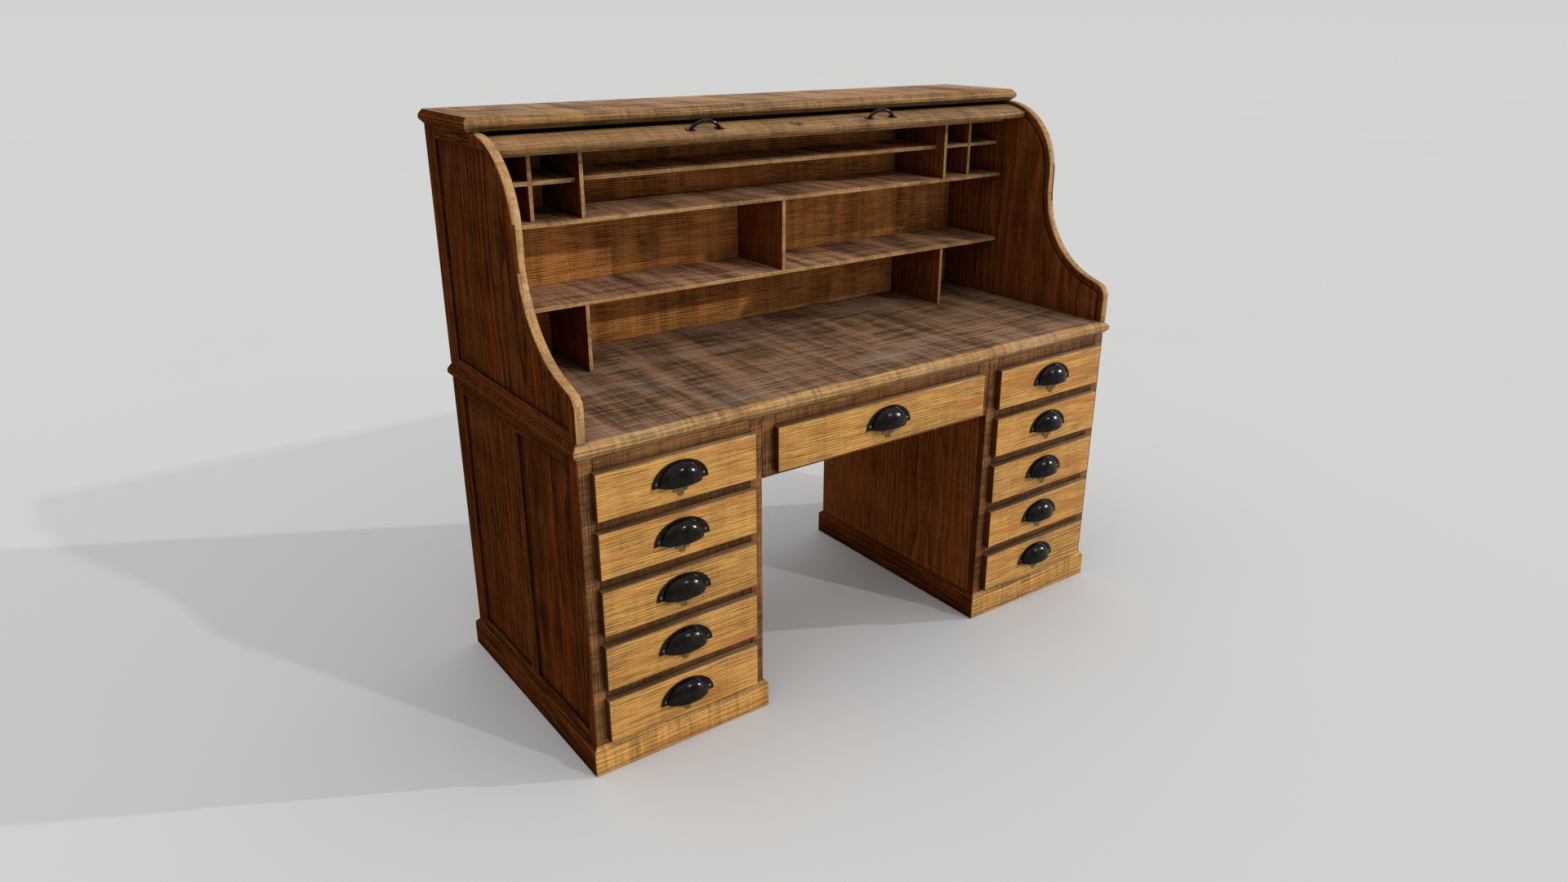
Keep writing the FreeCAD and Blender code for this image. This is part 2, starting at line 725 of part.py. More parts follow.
def cup_pull():
    """A cup pull facing -Y: half a domed shell on half an oval flange."""
    sphere_radius = (cup_radius ** 2 + cup_projection ** 2) / (2 * cup_projection)
    middle = V(0, sphere_radius - cup_projection, 0)
    reach = 2 * sphere_radius
    in_front = Part.makeBox(2 * reach, reach, reach, V(-reach, -reach, 0))
    shell = Part.makeSphere(sphere_radius, middle).cut(Part.makeSphere(sphere_radius - cup_wall, middle))
    dome = shell.common(in_front)
    inner_radius = math.sqrt((sphere_radius - cup_wall) ** 2 - middle.y ** 2)
    oval = Part.Wire(Part.Ellipse(V(0, 0, 0), flange_half_width, flange_height).toShape())
    flange = Part.Face(oval).extrude(V(0, 0, flange_thickness))
    flange.rotate(V(0, 0, 0), V(1, 0, 0), 90)
    flange = flange.cut(Part.makeCylinder(inner_radius, flange_thickness, V(0, 0, 0), V(0, -1, 0)))
    return dome.fuse(flange.common(in_front)).removeSplitter()


def make_pull(name, middle_x, middle_z):
    """Cup pull, its two screws, the key plate below it and the lock inside the drawer."""
    face = box_front - drawer_front_thickness
    base = V(middle_x, face, middle_z + cup_above_centre)
    cup = cup_pull()
    cup.translate(base)
    pieces = [cup]
    for sign in (-1, 1):
        spot = base + V(sign * screw_centre_x, -flange_thickness, screw_above_cup_edge)
        pieces.append(Part.makeCylinder(screw_head_radius, screw_head_height, spot, V(0, -1, 0)))
    plate = key_plate(key_plate_lobe_x, key_plate_foot_radius, key_plate_drop)
    plate.translate(base - V(0, 0, key_plate_below_cup))
    pieces.append(plate)
    inside = box_front + drawer_subfront_thickness
    drawer_low = middle_z - drawer_front_height / 2 + drawer_overlap + drawer_bottom_clearance
    lock_low = drawer_low + drawer_bottom_raise + drawer_bottom_thickness + lock_above_bottom
    pieces.append(box(middle_x - lock_width / 2, middle_x + lock_width / 2, inside, inside + lock_depth,
                      lock_low, lock_low + lock_height))
    save(name, pieces)


def make_drawer(name, middle_x, width, top):
    """A drawer: overlaid front, inner front, two sides, a back and a thin bottom."""
    low = top - drawer_front_height
    half_front = width / 2
    face = box_front - drawer_front_thickness
    front_board = box(middle_x - half_front, middle_x + half_front, face, box_front, low, top)
    show_edges = [edge for edge in front_board.Edges if abs(edge.BoundBox.YMax - face) < 0.01]
    front_board = front_board.makeFillet(drawer_front_round, show_edges)
    half = half_front - drawer_overlap - drawer_side_clearance
    x0, x1 = middle_x - half, middle_x + half
    inner0, inner1 = x0 + drawer_side_thickness, x1 - drawer_side_thickness
    z0 = low + drawer_overlap + drawer_bottom_clearance
    z1 = top - drawer_overlap - drawer_box_drop
    y0, y1 = box_front, box_front + drawer_box_depth
    y_in = y0 + drawer_subfront_thickness
    y_back = y1 - drawer_side_thickness
    floor = z0 + drawer_bottom_raise
    pieces = [
        front_board,
        box(x0, x1, y0, y_in, z0, z1),
        box(x0, inner0, y_in, y1, z0, z1),
        box(inner1, x1, y_in, y1, z0, z1),
        box(inner0, inner1, y_back, y1, z0, z1),
        box(inner0, inner1, y_in, y_back, floor, floor + drawer_bottom_thickness),
    ]
    save(name, pieces)


def make_drawers():
    for name, sign in side_sign.items():
        for row in range(1, drawers_per_pedestal + 1):
            top = drawer_front_top(row)
            middle_x = sign * pedestal_middle
            make_drawer("drawer_%s_%d" % (name, row), middle_x, drawer_front_width, top)
            make_pull("pull_%s_%d" % (name, row), middle_x, top - drawer_front_height / 2)
    make_drawer("drawer_centre", 0.0, centre_front_width, first_front_top)
    make_pull("pull_centre", 0.0, first_front_top - drawer_front_height / 2)


os.makedirs("parts", exist_ok=True)
make_tops()
make_pedestals()
make_runners()
make_kneehole()
make_gallery_sides()
make_gallery_back()
make_pigeonholes()
make_curtain()
make_lead_rail()
make_drawers()
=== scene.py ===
"""Roll top desk: worked boards, ironmongery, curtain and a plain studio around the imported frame.

Laid out as an add-on and run as a script. Metres, X across the desk, +Y to the back, +Z up.
"""
import json
import math
import random

import bmesh
import bpy
from mathutils import Matrix, Vector

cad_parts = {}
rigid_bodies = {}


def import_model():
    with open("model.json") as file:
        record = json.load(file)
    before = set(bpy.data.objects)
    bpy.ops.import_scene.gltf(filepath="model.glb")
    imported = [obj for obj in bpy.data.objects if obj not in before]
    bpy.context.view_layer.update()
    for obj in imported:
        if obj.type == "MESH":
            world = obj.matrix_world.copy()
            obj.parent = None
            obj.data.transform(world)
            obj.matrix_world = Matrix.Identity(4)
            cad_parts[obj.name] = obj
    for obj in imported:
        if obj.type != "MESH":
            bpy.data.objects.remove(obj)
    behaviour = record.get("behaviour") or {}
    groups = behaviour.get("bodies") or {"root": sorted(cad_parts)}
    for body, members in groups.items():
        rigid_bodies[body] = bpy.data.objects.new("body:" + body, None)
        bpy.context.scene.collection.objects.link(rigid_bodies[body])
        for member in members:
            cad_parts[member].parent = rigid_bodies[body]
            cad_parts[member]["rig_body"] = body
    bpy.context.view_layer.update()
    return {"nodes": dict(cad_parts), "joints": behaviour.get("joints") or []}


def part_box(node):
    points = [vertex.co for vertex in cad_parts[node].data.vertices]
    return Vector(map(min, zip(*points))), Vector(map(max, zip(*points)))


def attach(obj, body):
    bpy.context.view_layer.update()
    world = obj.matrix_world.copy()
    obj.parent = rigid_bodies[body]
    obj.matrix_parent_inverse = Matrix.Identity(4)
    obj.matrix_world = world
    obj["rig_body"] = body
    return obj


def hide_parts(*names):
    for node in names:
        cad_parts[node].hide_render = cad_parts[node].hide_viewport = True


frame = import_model()

bl_info = {
    "name": "Roll Top Desk",
    "version": (1, 0, 0),
    "blender": (4, 5, 0),
    "location": "3D View > Sidebar > Desk",
    "description": "Builds the boards, ironmongery, curtain and studio of a roll top desk",
    "category": "Object",
}

MM = 0.001
SIDES = ("left", "right")
DRAWERS = [side + "_" + str(row) for side in SIDES for row in range(1, 6)] + ["centre"]
GRAIN_AXES = {"X": (0, 1, 2), "Y": (1, 0, 2), "Z": (2, 0, 1)}
SHARP_EDGE = math.radians(30)
FLAT_EDGE = math.radians(0.4)
MESH_GRID = 1e5
WAVE_SCALE = 20.0
NOISE_GAIN = 3.1
RAIL_SURFACE = 170.0 * MM
BOW_FOOT = 2.5 * MM
BOW_SCREW_SPREAD = 45.0 * MM
BOW_ANGLE = math.radians(18.0)
CUP_OVAL = 1.11
FLANGE_RIM = 3.0 * MM
PLATE_LOBE = 5.5 * MM
PLATE_ARRIS = 0.35 * MM
NOSE_DEPTH = 60.0 * MM
# Reach of the occlusion darkening where boards meet: partly dirt, partly painted shade.
GRIME_AND_SHADE_REACH = 45.0 * MM
THREAD_GAP = 1.6 * MM
SIDEWAYS = 0.6
BOW_SCREW = (2.2 * MM, 0.9 * MM)
PIN_HEIGHT = 0.6 * MM
FLOOR_RADIUS = 300.0
# Widths above which a solid of a cup pull's node is its cup, its lock case or its key plate.
PULL_WIDTHS = (("cup", 80 * MM), ("lock", 40 * MM), ("plate", 12 * MM), ("screws", 0.0))


def linear(digits):
    """Six sRGB hex digits as linear red, green, blue and alpha."""
    values = [int(digits[start:start + 2], 16) / 255 for start in (0, 2, 4)]
    curve = [v / 12.92 if v <= 0.04045 else ((v + 0.055) / 1.055) ** 2.4 for v in values]
    return tuple(curve) + (1.0,)


# ---------------------------------------------------------------- settings


def colour(label, digits, words):
    return bpy.props.FloatVectorProperty(
        name=label, description=words, subtype="COLOR", size=4, min=0.0, max=1.0, default=linear(digits))


def length(label, metres, words):
    return bpy.props.FloatProperty(
        name=label, description=words, default=metres, min=0.0, unit="LENGTH", precision=4)


class DeskFinishes(bpy.types.PropertyGroup):
    """Colours of the desk's finishes."""

    front: colour("Drawer fronts", "BE8C49", "Golden waxed oak of the drawer fronts")
    frame: colour("Front frame", "7A5330", "Darker oak between the drawers")
    side: colour("Sides", "4C2812", "Dark oak of the sides and panels")
    top: colour("Writing surface", "7E6048", "Worn oak of the writing surface and shelves")
    edge: colour("Edges", "B48A57", "Handled, lighter edges of the tops, shelves and sides")
    japan: colour("Japanned iron", "090706", "Black lacquer of the pulls")
    brass: colour("Brass", "7A632F", "Tarnished brass of the key plates")
    canvas: colour("Canvas", "8A7A5C", "Cloth glued behind the curtain")


class DeskSizes(bpy.types.PropertyGroup):
    """Sizes of the small shapes worked onto the frame."""

    arris: length("Arris", 1.3 * MM, "Width of the worn corner along each board")
    fine_arris: length("Fine arris", 0.5 * MM, "Width of the worn corner of thin pieces")
    ring_gap: length("Ring spacing", 5.8 * MM, "Growth rings seen as lines along a board")
    plank: length("Plank width", 98 * MM, "Planks glued up into the writing surface")
    cup_wall: length("Cup wall", 2.0 * MM, "Thickness of the pressed cup")
    screw: length("Screw head", 3.2 * MM, "Radius of the cup pulls' screw heads")
    pin: length("Pin head", 1.3 * MM, "Radius of the key plates' pins")


class DeskStage(bpy.types.PropertyGroup):
    """Camera, lights and floor."""

    lens: bpy.props.FloatProperty(
        name="Lens", description="Focal length on a 36 mm sensor", default=25.04, min=1.0, unit="CAMERA")
    place: bpy.props.FloatVectorProperty(
        name="Camera place", description="Where the camera stands", subtype="TRANSLATION", size=3,
        default=(-1.5985, -2.1030, 1.5308))
    turn: bpy.props.FloatVectorProperty(
        name="Camera turn", description="How the camera is turned", subtype="EULER", size=3,
        default=(math.radians(90.0 - 21.44), -0.0029, math.radians(-36.13)))
    low_sun: bpy.props.FloatProperty(
        name="Side light", description="Strength of the low light from the right", default=1.65, min=0.0)
    front_sun: bpy.props.FloatProperty(
        name="Front light", description="Strength of the light from the front", default=0.6, min=0.0)
    horizon: bpy.props.FloatProperty(
        name="Backdrop", description="Brightness of the backdrop at floor level", default=0.645, min=0.0)
    fill: bpy.props.FloatProperty(
        name="Fill", description="Brightness of the soft light all round", default=0.39, min=0.0)
    overhead: bpy.props.FloatProperty(
        name="Overhead", description="Brightness of the soft light from above", default=1.3, min=0.0)
    floor: colour("Floor", "CFCFCF", "Plain pale floor")


# ---------------------------------------------------------------- material tools


def add_node(tree, kind, settings=None, links=None):
    """Add a node. Capitalised names and numbers are sockets, lower-case names are properties."""
    node = tree.nodes.new(kind)
    for name, value in (settings or {}).items():
        if name == "stops":
            ramp = node.color_ramp.elements
            while len(ramp) < len(value):
                ramp.new(0.5)
            for element, (place, tint) in zip(ramp, value):
                element.position = place
                element.color = tint
        elif isinstance(name, int) or name[0].isupper():
            node.inputs[name].default_value = value
        else:
            setattr(node, name, value)
    for name, source in (links or {}).items():
        tree.links.new(source, node.inputs[name])
    return node


def shade(base, factor):
    """A colour made lighter or darker by a factor."""
    return tuple(min(1.0, value * factor) for value in base[:3]) + (1.0,)


def mixed(base, other, share):
    """A colour part of the way to another one."""
    return tuple(a + (b - a) * share for a, b in zip(base[:3], other[:3])) + (1.0,)


def new_material(name):
    """A named material with its tree and its shader."""
    material = bpy.data.materials.new(name)
    material.use_nodes = True
    tree = material.node_tree
    return material, tree, tree.nodes["Principled BSDF"]


def wood(name, base, light=1.45, dark=0.42, streak=0.0, grey=0.0, rings=0.34, fibre=0.5, cross=0.12,
         bands=0.10, boards=0.16, patches=0.14, rough=0.5, grime_and_shade=0.75, wax=0.16, planks=0.0, gap=0.0058):
    """Sawn and waxed oak, read along each board's own grain."""
    material, tree, shader = new_material(name)
    grain = add_node(tree, "ShaderNodeAttribute", {"attribute_name": "grain"}).outputs["Vector"]
    tone = add_node(tree, "ShaderNodeAttribute", {"attribute_name": "tone"}).outputs["Fac"]

    # Slow sway of the fibres, about 150 mm from bend to bend along the board.
    long = add_node(tree, "ShaderNodeMapping", {"Scale": (0.16, 1.0, 1.0)}, {"Vector": grain})
    long = long.outputs["Vector"]
    sway = add_node(tree, "ShaderNodeTexNoise", {"Scale": 13.0, "Detail": 2.0}, {"Vector": long})
    bent = add_node(tree, "ShaderNodeVectorMath", {"operation": "MULTIPLY_ADD", 1: (0.0, 0.020, 0.020)},
                    {0: sway.outputs["Color"], 2: long}).outputs["Vector"]
    # A wave of scale s repeats every 2 pi / 20 s: growth rings a few millimetres apart.
    ring = add_node(
        tree, "ShaderNodeTexWave",
        {"wave_type": "RINGS", "rings_direction": "X", "wave_profile": "SAW",
         "Scale": math.tau / (WAVE_SCALE * gap), "Distortion": 3.0, "Detail": 2.0, "Detail Scale": 0.35},
        {"Vector": bent}).outputs["Fac"]

    noises = {
        # Fibres 3 mm apart and 90 mm long: real ones are finer, these are as coarse as will show.
        "strand": (grain, (0.035, 1.0, 1.0), {"Scale": 300.0, "Detail": 5.0, "Roughness": 0.68}),
        # Short saw marks and ray flecks across the grain, 5 to 9 mm apart.
        "fleck": (grain, (1.0, 0.07, 0.07), {"Scale": 120.0, "Detail": 3.0, "Roughness": 0.6}),
        # Broad light and dark bars across the board, 40 to 80 mm wide.
        "bar": (grain, (1.0, 0.10, 0.10), {"Scale": 20.0, "Detail": 3.0, "Roughness": 0.55}),
        # Worn and dull areas, 100 to 200 mm across.
        "patch": (grain, (0.5, 1.0, 1.0), {"Scale": 8.0, "Detail": 4.0, "Roughness": 0.6}),
        # Open pores: dark dashes along the grain.
        "pore": (grain, (0.08, 1.0, 1.0), {"Scale": 560.0, "Detail": 1.0}),
    }
    if streak:
        # Orange runs in the figure, as long as a hand.
        noises["run"] = (bent, (0.5, 1.0, 1.0), {"Scale": 34.0, "Detail": 3.0, "Roughness": 0.6})
    for title, (source, stretch, settings) in noises.items():
        mapped = add_node(tree, "ShaderNodeMapping", {"Scale": stretch}, {"Vector": source})
        noises[title] = add_node(
            tree, "ShaderNodeTexNoise", settings, {"Vector": mapped.outputs["Vector"]}).outputs["Fac"]

    # Noise keeps near its middle value, so its weights are raised to use the whole range of tones.
    layers = [
        (ring, rings), (noises["strand"], fibre * NOISE_GAIN), (noises["fleck"], cross * NOISE_GAIN),
        (noises["bar"], bands * NOISE_GAIN), (noises["patch"], patches * NOISE_GAIN), (tone, boards)]
    total = None
    offset = 0.5 - 0.5 * sum(weight for _, weight in layers)
    for source, weight in layers:
        settings = {"operation": "MULTIPLY_ADD", 1: weight, 2: offset}
        links = {0: source} if total is None else {0: source, 2: total}
        total = add_node(tree, "ShaderNodeMath", settings, links).outputs["Value"]
    tint = add_node(tree, "ShaderNodeValToRGB", {"stops": [
        (0.10, shade(base, dark)), (0.42, shade(base, 0.80)), (0.60, shade(base, 1.12)),
        (0.90, shade(base, light))]}, {"Fac": total}).outputs["Color"]

    # Colours laid over the tint in turn: where from, the values where each starts and is full, how much.
    overlays = [(noises["pore"], 0.62, 0.72, 0.55, shade(base, dark * 0.7))]
    if grey:
        # Dry, greyed places where the wax has gone.
        dry = mixed(shade(base, 1.2), linear("9B948A"), 0.6)
        overlays.insert(0, (noises["patch"], 0.50, 0.70, grey, dry))
    if streak:
        orange = mixed(shade(base, 0.8), linear("A4470E"), 0.5)
        overlays.insert(0, (noises["run"], 0.52, 0.66, streak, orange))
    if planks:
        # Glue lines between the planks, a fine dark line each.
        across = add_node(tree, "ShaderNodeSeparateXYZ", {}, {"Vector": grain}).outputs["Y"]
        wander = add_node(tree, "ShaderNodeMath", {"operation": "MULTIPLY_ADD", 1: 0.003},
                          {0: noises["bar"], 2: across}).outputs["Value"]
        seam = add_node(tree, "ShaderNodeMath", {"operation": "PINGPONG", 1: planks / 2},
                        {0: wander}).outputs["Value"]
        overlays.append((seam, 0.0012, 0.0002, 0.75, shade(base, 0.22)))
    if grime_and_shade:
        # Darkened where boards meet and in recesses, through an ambient occlusion mask: partly dirt and old
        # polish, partly painted shade.
        corner = add_node(
            tree, "ShaderNodeAmbientOcclusion", {"samples": 6, "Distance": GRIME_AND_SHADE_REACH}).outputs["AO"]
        dirt_and_shade = mixed(shade(base, 0.16), linear("1C1008"), 0.5)
        overlays.append((corner, 0.88, 0.42, grime_and_shade, dirt_and_shade))
    for source, start, full, amount, other in overlays:
        share = add_node(tree, "ShaderNodeMapRange", {"From Min": start, "From Max": full, "To Max": amount},
                         {"Value": source}).outputs["Result"]
        tint = add_node(tree, "ShaderNodeMix", {"data_type": "RGBA", 7: other},
                        {0: share, 6: tint}).outputs[2]
        if source == noises["pore"]:
            pit = share
    tree.links.new(tint, shader.inputs["Base Color"])

    gloss = add_node(tree, "ShaderNodeMath", {"operation": "MULTIPLY_ADD", 1: -0.22, 2: rough + 0.11},
                     {0: total}).outputs["Value"]
    tree.links.new(gloss, shader.inputs["Roughness"])
    relief = add_node(
        tree, "ShaderNodeMath", {"operation": "SUBTRACT"}, {0: total, 1: pit}).outputs["Value"]
    bump = add_node(tree, "ShaderNodeBump", {"Strength": 0.35, "Distance": 0.0006}, {"Height": relief})
    tree.links.new(bump.outputs["Normal"], shader.inputs["Normal"])
    shader.inputs["IOR"].default_value = 1.47
    shader.inputs["Specular IOR Level"].default_value = wax
    return material


def japanned_iron(name, base):
    """Cast iron dipped in black japan and stoved: deep gloss, faint orange peel, rubbed brown."""
    material, tree, shader = new_material(name)
    place = add_node(tree, "ShaderNodeTexCoord").outputs["Object"]
    # Orange peel about 2 mm across, and rubbed clouds about 14 mm across.
    peel = add_node(
        tree, "ShaderNodeTexNoise", {"Scale": 420.0, "Detail": 3.0}, {"Vector": place}).outputs["Fac"]
    cloud = add_node(
        tree, "ShaderNodeTexNoise", {"Scale": 70.0, "Detail": 4.0}, {"Vector": place}).outputs["Fac"]
    tint = add_node(tree, "ShaderNodeValToRGB", {"stops": [
        (0.42, base), (0.66, mixed(base, linear("2A1C14"), 0.4)), (0.84, linear("38271B"))]},
        {"Fac": cloud}).outputs["Color"]
    tree.links.new(tint, shader.inputs["Base Color"])
    gloss = add_node(
        tree, "ShaderNodeMapRange", {"From Min": 0.35, "From Max": 0.7, "To Min": 0.12, "To Max": 0.26},
        {"Value": cloud}).outputs["Result"]
    tree.links.new(gloss, shader.inputs["Roughness"])
    bump = add_node(tree, "ShaderNodeBump", {"Strength": 0.18, "Distance": 0.0003}, {"Height": peel})
    tree.links.new(bump.outputs["Normal"], shader.inputs["Normal"])
    shader.inputs["Specular IOR Level"].default_value = 0.16
    return material


def aged_metal(name, base, stain, rough, metallic):
    """Stamped brass or turned steel, dulled and stained by handling."""
    material, tree, shader = new_material(name)
    place = add_node(tree, "ShaderNodeTexCoord").outputs["Object"]
    cloud = add_node(tree, "ShaderNodeTexNoise", {"Scale": 160.0, "Detail": 5.0, "Roughness": 0.65},
                     {"Vector": place}).outputs["Fac"]
    tint = add_node(tree, "ShaderNodeValToRGB", {"stops": [
        (0.36, stain), (0.56, base), (0.74, shade(base, 1.7))]}, {"Fac": cloud}).outputs["Color"]
    tree.links.new(tint, shader.inputs["Base Color"])
    gloss = add_node(
        tree, "ShaderNodeMapRange",
        {"From Min": 0.3, "From Max": 0.7, "To Min": rough + 0.18, "To Max": rough},
        {"Value": cloud}).outputs["Result"]
    tree.links.new(gloss, shader.inputs["Roughness"])
    bump = add_node(tree, "ShaderNodeBump", {"Strength": 0.3, "Distance": 0.0003}, {"Height": cloud})
    tree.links.new(bump.outputs["Normal"], shader.inputs["Normal"])
    shader.inputs["Metallic"].default_value = metallic
    return material


def canvas_cloth(name, base):
    """Plain-woven cotton duck stiffened with glue; threads drawn 1.6 mm apart so that they show."""
    material, tree, shader = new_material(name)
    place = add_node(tree, "ShaderNodeTexCoord").outputs["Object"]
    height = None
    for direction in ("X", "Y"):
        thread = add_node(
            tree, "ShaderNodeTexWave",
            {"wave_type": "BANDS", "bands_direction": direction, "Distortion": 0.6, "Detail": 2.0,
             "Scale": math.tau / (WAVE_SCALE * THREAD_GAP)}, {"Vector": place}).outputs["Fac"]
        links = {0: thread} if height is None else {0: thread, 1: height}
        height = add_node(tree, "ShaderNodeMath", {"operation": "MAXIMUM"}, links).outputs["Value"]
    tint = add_node(tree, "ShaderNodeValToRGB", {"stops": [(0.2, shade(base, 0.55)), (0.9, base)]},
                    {"Fac": height}).outputs["Color"]
    tree.links.new(tint, shader.inputs["Base Color"])
    bump = add_node(tree, "ShaderNodeBump", {"Strength": 0.5, "Distance": 0.0004}, {"Height": height})
    tree.links.new(bump.outputs["Normal"], shader.inputs["Normal"])
    shader.inputs["Roughness"].default_value = 0.9
    return material


def finish(name):
    """A finish by name, made when a piece first asks for it."""
    if name in bpy.data.materials:
        return bpy.data.materials[name]
    c = bpy.context.scene.desk_finishes
    gap = bpy.context.scene.desk_sizes.ring_gap
    plank = bpy.context.scene.desk_sizes.plank
    makers = {
        # Drawer fronts: quartered oak, honey wax; fine straight lines with orange runs.
        "oak_waxed_front": lambda: wood(
            name, c.front[:], light=1.36, dark=0.40, streak=0.75, rings=0.46, fibre=0.66, cross=0.08,
            bands=0.16, boards=0.10, rough=0.46, grime_and_shade=0.3, gap=gap),
        # Drawer fronts' ends: sawn end grain drinks the polish and goes near black.
        "oak_end_grain": lambda: wood(
            name, shade(c.side[:], 1.25), rings=0.5, fibre=0.3, cross=0.3, rough=0.6, grime_and_shade=0.4, wax=0.05,
            gap=gap),
        # Drawer fronts' top edges: dust and handling leave them dull and greyish.
        "oak_dusty_edge": lambda: wood(
            name, mixed(c.front[:], linear("7E6B58"), 0.6), grey=0.3, rough=0.62, grime_and_shade=0.5, gap=gap),
        # Front frames: darker oak with ray fleck across it, and dirt with painted shade beside the drawers.
        "oak_stained_frame": lambda: wood(
            name, c.frame[:], light=1.7, dark=0.34, streak=0.3, rings=0.40, fibre=0.62, cross=0.44,
            bands=0.22, patches=0.24, rough=0.5, grime_and_shade=1.0, wax=0.10, gap=gap),
        # Plinth fronts: golden again, with wide dark lines.
        "oak_waxed_plinth": lambda: wood(
            name, shade(c.front[:], 1.05), dark=0.40, streak=0.5, rings=0.55, fibre=0.50, cross=0.35,
            bands=0.22, rough=0.5, grime_and_shade=0.5, gap=gap),
        # Sides and panels: oak stained very dark, upright grain still visible.
        "oak_dark_side": lambda: wood(
            name, c.side[:], light=1.9, dark=0.34, streak=0.35, rings=0.50, fibre=0.80, cross=0.12,
            bands=0.14, patches=0.24, rough=0.55, grime_and_shade=0.85, wax=0.0, gap=gap),
        # The same dark oak painted lighter on the inner faces of the gallery, the kneehole and the dividers,
        # standing in for the light that falls on them.
        "oak_inner_side": lambda: wood(
            name, shade(c.side[:], 2.2), light=1.6, dark=0.40, streak=0.35, rings=0.50, fibre=0.70,
            cross=0.12, bands=0.14, rough=0.55, grime_and_shade=0.5, wax=0.0, gap=gap),
        # Corners of the dark boards: rubbed a little browner than the faces.
        "oak_dark_arris": lambda: wood(name, shade(c.side[:], 1.9), rough=0.5, grime_and_shade=0.6, wax=0.0, gap=gap),
        # Inner gallery and pigeonhole back: red-brown oak in the shade of the shelves.
        "oak_back_board": lambda: wood(
            name, linear("B47840"), light=1.6, dark=0.24, streak=0.6, rings=0.60, fibre=0.55, cross=0.16,
            bands=0.34, patches=0.42, rough=0.5, grime_and_shade=0.35, wax=0.03, gap=gap),
        # Writing surface and crown: wax worn off, grey and brown, barred across the planks.
        "oak_worn_top": lambda: wood(
            name, c.top[:], light=1.7, dark=0.30, grey=0.5, rings=0.40, fibre=0.75, cross=0.40, bands=0.55,
            boards=0.06, patches=0.22, rough=0.55, grime_and_shade=0.6, planks=plank, gap=gap),
        # Shelves: the worn top's oak, painted lighter to stand in for the light that falls on them inside the
        # gallery.
        "oak_shelf_painted_lighter": lambda: wood(
            name, shade(c.top[:], 1.75), light=1.6, dark=0.32, streak=0.25, rings=0.40, fibre=0.65,
            cross=0.45, bands=0.80, boards=0.06, patches=0.22, rough=0.6, grime_and_shade=0.3, wax=0.08, gap=gap),
        # Crown's top face: the same worn planks, warmer, and painted paler to stand in for the light it
        # catches.
        "oak_crown_painted_paler": lambda: wood(
            name, mixed(shade(c.top[:], 1.45), c.front[:], 0.15), light=1.4, dark=0.40, streak=0.2,
            rings=0.40, fibre=0.60, cross=0.30, bands=0.60, boards=0.06, patches=0.22, rough=0.6, grime_and_shade=0.3,
            wax=0.08, planks=plank, gap=gap),
        # Bevels and front edges: rubbed pale by hands and sleeves.
        "oak_rubbed_edge": lambda: wood(
            name, shade(c.edge[:], 0.88), light=1.35, dark=0.42, streak=0.45, grey=0.30, rings=0.30,
            fibre=0.60, cross=0.34, bands=0.30, boards=0.06, patches=0.26, rough=0.42, grime_and_shade=0.45, gap=gap),
        # Lead rail and crown bevel: handled too, but browned by old wax.
        "oak_handled_rail": lambda: wood(
            name, shade(c.edge[:], 0.50), light=1.55, dark=0.40, streak=0.45, rings=0.34, fibre=0.65,
            cross=0.24, bands=0.30, boards=0.06, patches=0.26, rough=0.46, grime_and_shade=0.5, gap=gap),
        # Worn corners: the stain is gone along each arris.
        "oak_worn_arris": lambda: wood(
            name, mixed(c.edge[:], c.frame[:], 0.5), rings=0.2, fibre=0.4, cross=0.3, rough=0.45, grime_and_shade=0.5,
            gap=gap),
        # Drawer boxes, runners and backs: bare, sawn, aged oak and pine.
        "sawn_secondary_wood": lambda: wood(
            name, linear("7C5B38"), light=1.35, dark=0.46, rings=0.55, fibre=0.60, cross=0.04, bands=0.06,
            patches=0.30, rough=0.72, grime_and_shade=0.6, wax=0.03, gap=gap),
        "japanned_cast_iron": lambda: japanned_iron(name, c.japan[:]),
        "tarnished_brass": lambda: aged_metal(name, c.brass[:], linear("3A3018"), 0.42, 0.35),
        "turned_steel_screw": lambda: aged_metal(name, linear("8C867C"), linear("2A2420"), 0.30, 0.8),
        "glued_cotton_canvas": lambda: canvas_cloth(name, c.canvas[:]),
    }
    return makers[name]()


# ---------------------------------------------------------------- board tools


def solids_of(node):
    """Face numbers of each solid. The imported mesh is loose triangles, one closed solid after another."""
    mesh = frame["nodes"][node].data
    spots = [tuple(round(value * MESH_GRID) for value in vert.co) for vert in mesh.vertices]
    groups, group, unpaired = [], [], set()
    for polygon in mesh.polygons:
        group.append(polygon.index)
        for first, second in polygon.edge_keys:
            unpaired ^= {frozenset((spots[first], spots[second]))}
        if not unpaired:
            groups.append(group)
            group = []
    return groups + ([group] if group else [])


def solid_mesh(node, numbers):
    """One solid of a node as a closed bmesh with whole flat faces."""
    bm = bmesh.new()
    bm.from_mesh(frame["nodes"][node].data)
    bm.faces.ensure_lookup_table()
    keep = set(numbers)
    spare = [face for face in bm.faces if face.index not in keep]
    bmesh.ops.delete(bm, geom=spare, context="FACES")
    bmesh.ops.remove_doubles(bm, verts=bm.verts[:], dist=0.01 * MM)
    bmesh.ops.dissolve_limit(bm, angle_limit=FLAT_EDGE, verts=bm.verts[:], edges=bm.edges[:])
    for face in bm.faces:
        face.material_index = 0
    return bm


def corners(bm):
    """Lowest and highest corner of a bmesh."""
    low = Vector(min(vert.co[axis] for vert in bm.verts) for axis in range(3))
    high = Vector(max(vert.co[axis] for vert in bm.verts) for axis in range(3))
    return low, high


def on_seam(edge, seam):
    """True for an edge in the glued plane between two boards, given by its distance from the middle."""
    return all(abs(abs(vert.co.x) - seam) < 0.1 * MM for vert in edge.verts)


